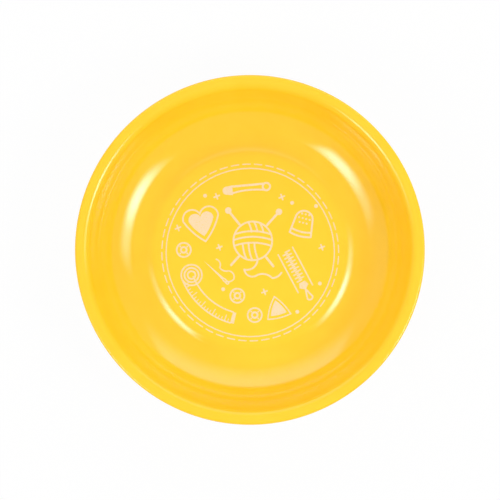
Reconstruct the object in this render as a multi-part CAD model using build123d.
from build123d import *

import math
import os

# A round magnetic pin bowl for the sewing table, in millimetres, +Z up. The origin is the centre
# of the face that the bowl stands on.
#
# A dish pressed from painted stainless sheet has a raised flat floor, a round gutter, a wall that
# sweeps up in one arc and ends straight, and a rim bent out flat and folded back under itself.
# Under the raised floor sits the magnet base: a soft boot holds a ferrite ring and a steel clamp
# plate, and a nut on a stud that is welded under the floor pulls the plate up against the magnet.

# Dish, pressed from one disc of sheet
rim_diameter = 107.0
bowl_depth = 16.6  # from the bottom of the gutter to the top of the rim
bowl_gauge = 0.6
floor_share = 0.54  # flat of the raised floor, as a share of the rim's diameter
floor_step = 1.0  # the floor stands this far above the gutter
floor_edge_radius = 6.25
gutter_radius = 8.75
wall_radius = 16.75
wall_straight = 5.5
rim_bend_radius = 2.6
rim_flat = 1.2
rim_edge_radius = 0.8
rim_drop = 0.5
rim_fold_radius = 1.0  # where the rim turns back in below
rim_gap = 0.3  # slit left between the cut edge of the rim and the wall

# Soft boot round the magnet
boot_seat_gap = 0.09  # play inside the recess under the raised floor
boot_wall = 1.2
boot_floor = 1.0
boot_lip_thickness = 0.5
boot_lip_width = 4.0
boot_fit = 0.1
boot_draft = 0.4  # the boot narrows by this much towards its foot
boot_foot_radius = 1.3
boot_top_radius = 0.4
boot_hole_margin = 0.4
grip_rib_pitch = 4.4  # at most this far apart
grip_rib_height = 0.4
grip_rib_width = 1.5
grip_rib_flank = 0.25  # each side of a rib leans out by this much at its root
grip_rib_margin = 1.4

# Ferrite ring
magnet_thickness = 6.0
magnet_bore = 25.0
magnet_chamfer = 0.5

# Steel clamp plate, pressed with a well for the nut
plate_gauge = 1.0
plate_setback = 0.5
well_flat_radius = 7.5
well_crown_radius = 2.0
well_mouth_radius = 1.0
well_side_angle = 85.0

# Stud, washers and nut, metric 4 mm
stud_diameter = 4.0
stud_flange_diameter = 5.5
stud_flange_thickness = 0.8
stud_reach = 0.7  # of stud beyond the nut
stud_point = 0.4
stud_hole_play = 0.15
thread_play = 0.05
clamp_gap = 0.3
flat_washer_diameter = 9.0
flat_washer_thickness = 0.8
spring_washer_diameter = 7.6
spring_washer_thickness = 0.9
spring_washer_slit = 0.7
spring_washer_lean = 35.0
nut_across_flats = 7.0
nut_height = 3.2
nut_chamfer_angle = 30.0
cut_overrun = 1.0

# Levels, from the table up to the floor of the dish
boot_floor_top = grip_rib_height + boot_floor
plate_top = boot_floor_top + plate_gauge
magnet_top = plate_top + magnet_thickness
bowl_seat = magnet_top + boot_lip_thickness
bowl_floor = bowl_seat + bowl_gauge

# Levels, from the underside of the floor down the stud
stud_flange_under = bowl_seat - stud_flange_thickness
well_top = stud_flange_under - clamp_gap
well_under = well_top - plate_gauge
flat_washer_under = well_under - flat_washer_thickness
spring_washer_under = flat_washer_under - spring_washer_thickness
nut_under = spring_washer_under - nut_height
stud_tip = nut_under - stud_reach

# Radii that follow from the fits
floor_radius = floor_share * rim_diameter / 2
boot_radius = floor_radius - boot_seat_gap
magnet_radius = boot_radius - boot_wall - boot_fit
plate_radius = magnet_radius - plate_setback
stud_radius = stud_diameter / 2
stud_hole_radius = stud_radius + stud_hole_play
nut_bore_radius = stud_radius + thread_play


def pressed_section(start, gauge, steps):
    """Section of sheet of even gauge, at (radius, height) points.

    Its upper skin leaves start along +radius. Each step is a straight length, or a bend given as
    (radius of the upper skin, degrees), to the left where the degrees are positive.
    """
    skins = []
    for depth in (0, gauge):
        pen = Vector(*start) - Vector(0, depth)
        heading = Vector(1, 0)
        skin = []
        for step in steps:
            if isinstance(step, tuple):
                bend_radius, turn = step
                skin_radius = bend_radius + math.copysign(depth, turn)
                line = JernArc(start=pen, tangent=heading, radius=skin_radius, arc_size=turn)
            else:
                line = Line(pen, pen + heading * step)
            pen = line @ 1
            heading = line % 1
            skin.append(line)
        skins.append(skin)
    upper, lower = skins
    near_edge = Line(upper[0] @ 0, lower[0] @ 0)
    far_edge = Line(upper[-1] @ 1, lower[-1] @ 1)
    return make_face([*upper, *lower, near_edge, far_edge])


def turned(section):
    """The solid that a section at (radius, height) points sweeps about the Z axis."""
    return revolve(Plane.XZ * section, Axis.Z)


def ring_section(inner, outer, low, high):
    """Rectangular section of a ring."""
    return make_face(Polyline((inner, low), (outer, low), (outer, high), (inner, high), close=True))


def bowl():
    """The dish: raised floor, step down to the gutter, wall arc and folded rim, at one gauge."""
    step_bends = floor_edge_radius + gutter_radius
    step_angle = math.acos(1 - floor_step / step_bends)
    gutter_at = Vector(floor_radius + step_bends * math.sin(step_angle), gutter_radius)
    rim_flat_start = rim_diameter / 2 - rim_edge_radius - rim_flat
    rim_bend_at = Vector(rim_flat_start, bowl_depth - rim_bend_radius)
    # The centres of the gutter, wall and rim bends make a triangle of which every side is known.
    # Its angles give the slope of the wall's straight top, and where the wall leaves the gutter.
    across = rim_bend_at - gutter_at
    upper_bends = wall_radius + rim_bend_radius
    upper_side = math.hypot(upper_bends, wall_straight)
    lower_side = wall_radius - gutter_radius
    at_rim = math.acos(
        (across.length**2 + upper_side**2 - lower_side**2) / (2 * across.length * upper_side)
    )
    tilt = math.atan2(across.Y, across.X) - math.atan2(wall_straight, upper_bends) - at_rim
    slope = math.radians(90) + tilt
    uphill = Vector(math.cos(slope), math.sin(slope))
    outward = Vector(math.sin(slope), -math.cos(slope))
    to_wall_centre = across - uphill * wall_straight - outward * upper_bends
    join_angle = math.degrees(math.atan2(-to_wall_centre.X, to_wall_centre.Y))
    # The rim turns down and back in until its cut edge nears the outside of the wall.
    wall_outside = rim_flat_start - (rim_bend_radius - bowl_gauge) * math.sin(slope)
    rim_return = rim_diameter / 2 - rim_fold_radius - wall_outside - rim_gap
    step_angle = math.degrees(step_angle)
    wall_top_angle = math.degrees(slope)
    section = pressed_section(
        (0, bowl_floor),
        bowl_gauge,
        [
            floor_radius,
            (floor_edge_radius, -step_angle),
            (gutter_radius, step_angle + join_angle),
            (wall_radius, wall_top_angle - join_angle),
            wall_straight,
            (rim_bend_radius, -wall_top_angle),
            rim_flat,
            (rim_edge_radius, -90),
            rim_drop,
            (rim_fold_radius, -90),
            rim_return,
        ],
    )
    return turned(section)


def well_side():
    """Straight length of the side of the plate's well, between its two bends."""
    side = math.radians(well_side_angle)
    bends = (well_crown_radius + well_mouth_radius) * (1 - math.cos(side))
    return (well_top - plate_top - bends) / math.sin(side)


def well_mouth():
    """Radius where the well's mouth has bent out flat into the flange of the plate."""
    side = math.radians(well_side_angle)
    bends = (well_crown_radius + well_mouth_radius) * math.sin(side)
    return well_flat_radius + bends + well_side() * math.cos(side)


def clamp_plate():
    """Pressed plate under the magnet, with its centre drawn up into the bore as the nut's well."""
    section = pressed_section(
        (stud_hole_radius, well_top),
        plate_gauge,
        [
            well_flat_radius - stud_hole_radius,
            (well_crown_radius, -well_side_angle),
            well_side(),
            (well_mouth_radius, well_side_angle),
            plate_radius - well_mouth(),
        ],
    )
    return turned(section)


def ring_magnet():
    """Ferrite ring with ground faces and chamfered edges."""
    section = ring_section(magnet_bore / 2, magnet_radius, plate_top, magnet_top)
    return turned(chamfer(section.vertices(), magnet_chamfer))


def grip_rib(middle):
    """One ring of the ribbed foot, whose flat crest stands on the table."""
    crest = grip_rib_width / 2
    root = crest + grip_rib_flank
    outline = Polyline(
        (middle - crest, 0),
        (middle + crest, 0),
        (middle + root, grip_rib_height),
        (middle - root, grip_rib_height),
        close=True,
    )
    return turned(make_face(outline))


def base_boot():
    """Moulded boot: floor, wall and inturned lip round the magnet, and ribs to grip the table."""
    hole_radius = well_mouth() + boot_hole_margin
    foot_radius = boot_radius - boot_draft
    cavity_radius = magnet_radius + boot_fit
    lip_radius = boot_radius - boot_wall - boot_lip_width
    corners = [
        ((hole_radius, grip_rib_height), 0),
        ((foot_radius, grip_rib_height), boot_foot_radius),
        ((boot_radius, bowl_seat), boot_top_radius),
        ((lip_radius, bowl_seat), 0),
        ((lip_radius, magnet_top), 0),
        ((cavity_radius, magnet_top), 0),
        ((cavity_radius, boot_floor_top), 0),
        ((hole_radius, boot_floor_top), 0),
    ]
    points, rounds = zip(*corners)
    boot = turned(make_face(FilletPolyline(*points, radius=rounds, close=True)))
    root = grip_rib_width / 2 + grip_rib_flank
    first = hole_radius + grip_rib_margin + root
    last = foot_radius - boot_foot_radius - root
    spaces = math.ceil((last - first) / grip_rib_pitch)
    for index in range(spaces + 1):
        boot += grip_rib(first + (last - first) * index / spaces)
    return boot


def weld_stud():
    """Stud with a weld flange against the underside of the floor and a pointed tip."""
    outline = Polyline(
        (0, bowl_seat),
        (stud_flange_diameter / 2, bowl_seat),
        (stud_flange_diameter / 2, stud_flange_under),
        (stud_radius, stud_flange_under),
        (stud_radius, stud_tip + stud_point),
        (stud_radius - stud_point, stud_tip),
        (0, stud_tip),
        close=True,
    )
    return turned(make_face(outline))


def flat_washer():
    """Plain washer under the well of the clamp plate."""
    outer = flat_washer_diameter / 2
    return turned(ring_section(stud_hole_radius, outer, flat_washer_under, well_under))


def spring_washer():
    """Split washer, clamped flat, with its slit cut on a lean."""
    outer = spring_washer_diameter / 2
    ring = turned(ring_section(stud_hole_radius, outer, spring_washer_under, flat_washer_under))
    lean = math.radians(spring_washer_lean)
    slit = Box(
        outer + cut_overrun,
        spring_washer_slit,
        2 * (spring_washer_thickness + cut_overrun) / math.cos(lean),
        align=(Align.MIN, Align.CENTER, Align.CENTER),
    )
    middle = (spring_washer_under + flat_washer_under) / 2
    return ring - Pos(0, 0, middle) * Rot(spring_washer_lean, 0, 0) * slit


def hex_nut():
    """Hexagon nut with its corners turned off on both faces."""
    flats = nut_across_flats / 2
    corners = flats / math.cos(math.radians(30))
    prism = extrude(
        Pos(0, 0, nut_under) * RegularPolygon(flats, side_count=6, major_radius=False), nut_height
    )
    turn_off = (corners - flats) * math.tan(math.radians(nut_chamfer_angle))
    outline = Polyline(
        (nut_bore_radius, nut_under),
        (flats, nut_under),
        (corners, nut_under + turn_off),
        (corners, spring_washer_under - turn_off),
        (flats, spring_washer_under),
        (nut_bore_radius, spring_washer_under),
        close=True,
    )
    return prism & turned(make_face(outline))


def main():
    """Makes every piece where it lies in the assembly and writes one file for each."""
    os.makedirs("parts", exist_ok=True)
    for piece in (
        bowl,
        base_boot,
        ring_magnet,
        clamp_plate,
        weld_stud,
        flat_washer,
        spring_washer,
        hex_nut,
    ):
        export_step(piece(), f"parts/{piece.__name__}.step")


main()
